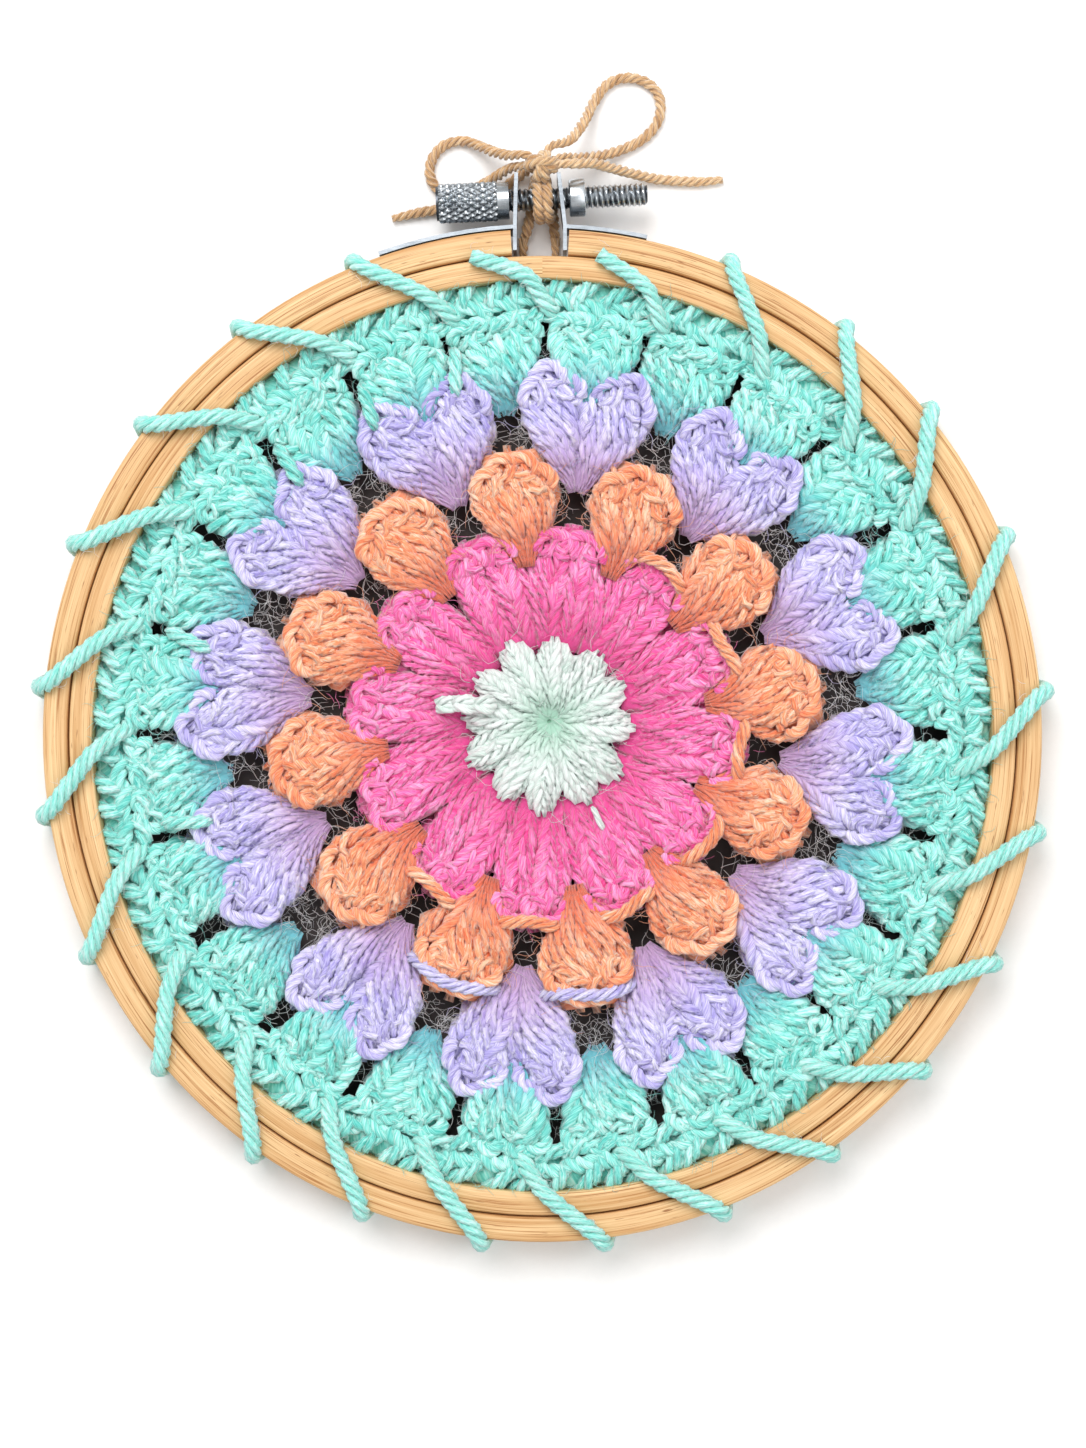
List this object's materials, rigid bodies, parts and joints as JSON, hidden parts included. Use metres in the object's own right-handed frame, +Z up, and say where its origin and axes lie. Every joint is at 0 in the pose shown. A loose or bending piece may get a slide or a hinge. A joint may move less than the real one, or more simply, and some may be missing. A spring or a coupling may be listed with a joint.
{
  "type": "crochet flower mandala in an embroidery hoop",
  "caption": "Round crocheted flower mandala lashed into a split wooden embroidery hoop with a screw clamp and a twine bow, lying on its back.",
  "frame": {"origin": "on the resting surface, under the middle of the hoop and its clamp, without the bow's loops and ends", "axes": "+Z up, out of the flower's face, +Y towards the clamp, which is the top as it hangs, +X to the right seen from the front"},
  "size_m": [0.1638, 0.191, 0.0143],
  "materials": {
    "hoop_wood": "smooth bare wood",
    "clamp_steel": "bright plated steel",
    "pale_yarn": "soft spun yarn",
    "pink_yarn": "soft spun yarn",
    "orange_yarn": "soft spun yarn",
    "lilac_yarn": "soft spun yarn",
    "mint_yarn": "soft spun yarn",
    "jute_twine": "rough twisted twine"
  },
  "bodies": {
    "root": {"hoop_outer_ring": "hoop_wood", "hoop_inner_ring": "hoop_wood", "clamp_bracket_left": "clamp_steel", "clamp_bracket_right": "clamp_steel", "clamp_screw": "clamp_steel", "knurled_nut": "clamp_steel", "clamp_collar": "clamp_steel", "crochet_centre": "pale_yarn", "crochet_petals": "pink_yarn", "crochet_puffs": "orange_yarn", "crochet_hearts": "lilac_yarn", "crochet_edging": "mint_yarn", "lashing_yarn": "mint_yarn", "lashing_start": "mint_yarn", "twine_wrap": "jute_twine", "twine_knot": "jute_twine", "twine_loop_left": "jute_twine", "twine_loop_right": "jute_twine", "twine_tail_left": "jute_twine", "twine_tail_right": "jute_twine"}
  },
  "joints": []
}
